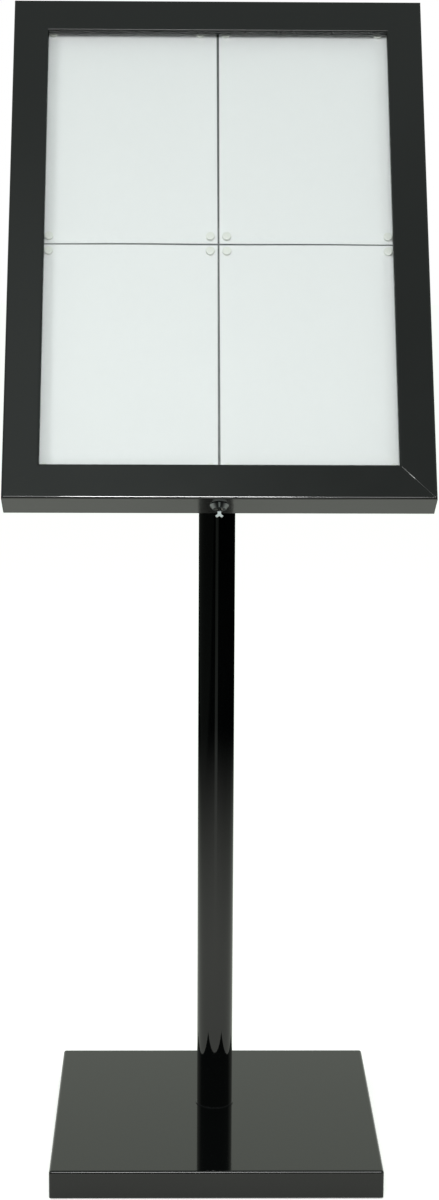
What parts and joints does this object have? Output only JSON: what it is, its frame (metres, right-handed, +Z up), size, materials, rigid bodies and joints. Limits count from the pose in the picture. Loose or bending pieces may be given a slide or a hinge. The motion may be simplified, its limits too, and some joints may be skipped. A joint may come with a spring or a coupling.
{
  "type": "lockable menu display stand",
  "caption": "Floor-standing lockable display case for paper sheets, tilted on a round post over a square weighted base, with a top-hinged windowed door and a cam lock.",
  "frame": {"origin": "on the floor, under the middle of the base", "axes": "+Z up, +X to the right of a reader at the front, +Y to the back"},
  "size_m": [0.498, 0.4011, 1.4088],
  "materials": {
    "black_lacquer": "gloss black lacquer on steel",
    "dark_panel": "satin dark grey coating on steel",
    "zinc_steel": "zinc-plated sheet",
    "zinc_fasteners": "zinc-plated",
    "raw_steel": "oiled mill finish",
    "white_paper": "plain matt sheet",
    "white_magnet": "moulded cap",
    "clear_acrylic": "clear, polished",
    "black_rubber": "matt",
    "black_nylon": "satin",
    "chrome": "polished plating",
    "lock_steel": "nickel-plated"
  },
  "bodies": {
    "stand": {"base_cover": "black_lacquer", "post_tube": "black_lacquer", "head_mount_plate": "black_lacquer", "back_panel": "black_lacquer", "case_wall_top": "black_lacquer", "case_wall_left": "black_lacquer", "case_wall_right": "black_lacquer", "case_wall_lower_left": "black_lacquer", "case_wall_lower_right": "black_lacquer", "magnetic_panel": "dark_panel", "panel_bosses": "zinc_steel", "lock_strike": "zinc_steel", "head_backing_plate": "zinc_steel", "left_hinge_case_leaf": "zinc_steel", "right_hinge_case_leaf": "zinc_steel", "panel_screws": "zinc_fasteners", "hinge_rivets": "zinc_fasteners", "left_hinge_pin": "zinc_fasteners", "right_hinge_pin": "zinc_fasteners", "head_mount_bolts": "zinc_fasteners", "head_mount_washers": "zinc_fasteners", "head_weld_nuts": "zinc_fasteners", "post_clamp_bolt": "zinc_fasteners", "post_clamp_washer": "zinc_fasteners", "base_foot_screws": "zinc_fasteners", "base_weight_plate": "raw_steel", "post_foot_plug": "raw_steel", "sheet_upper_left": "white_paper", "sheet_upper_right": "white_paper", "sheet_lower_left": "white_paper", "sheet_lower_right": "white_paper", "sheet_magnets": "white_magnet", "base_feet": "black_rubber", "post_foot_ring": "black_nylon"},
    "door": {"door_top_rail": "black_lacquer", "door_bottom_rail": "black_lacquer", "door_left_rail": "black_lacquer", "door_right_rail": "black_lacquer", "door_corner_gussets": "black_lacquer", "door_gasket": "black_rubber", "window_pane": "clear_acrylic", "pane_retainer_top": "zinc_steel", "pane_retainer_bottom": "zinc_steel", "pane_retainer_left": "zinc_steel", "pane_retainer_right": "zinc_steel", "pane_retainer_studs": "zinc_fasteners", "pane_retainer_nuts": "zinc_fasteners", "left_hinge_door_leaf": "zinc_steel", "right_hinge_door_leaf": "zinc_steel", "lock_body": "chrome", "lock_nut": "lock_steel"},
    "lock_core": {"lock_plug": "lock_steel", "lock_key": "chrome", "lock_cam": "lock_steel", "lock_cam_screw": "zinc_fasteners"}
  },
  "joints": [
    {"name": "door_hinge", "type": "hinge", "parent": "stand", "child": "door", "pos_m": [0, 0.19764, 1.3804], "axis": [-1, 0, 0], "range_deg": [0, 110]},
    {"name": "lock_turn", "type": "hinge", "parent": "door", "child": "lock_core", "pos_m": [0, -0.16464, 0.83358], "axis": [0, -0.515, -0.8572], "range_deg": [0, 90]}
  ]
}
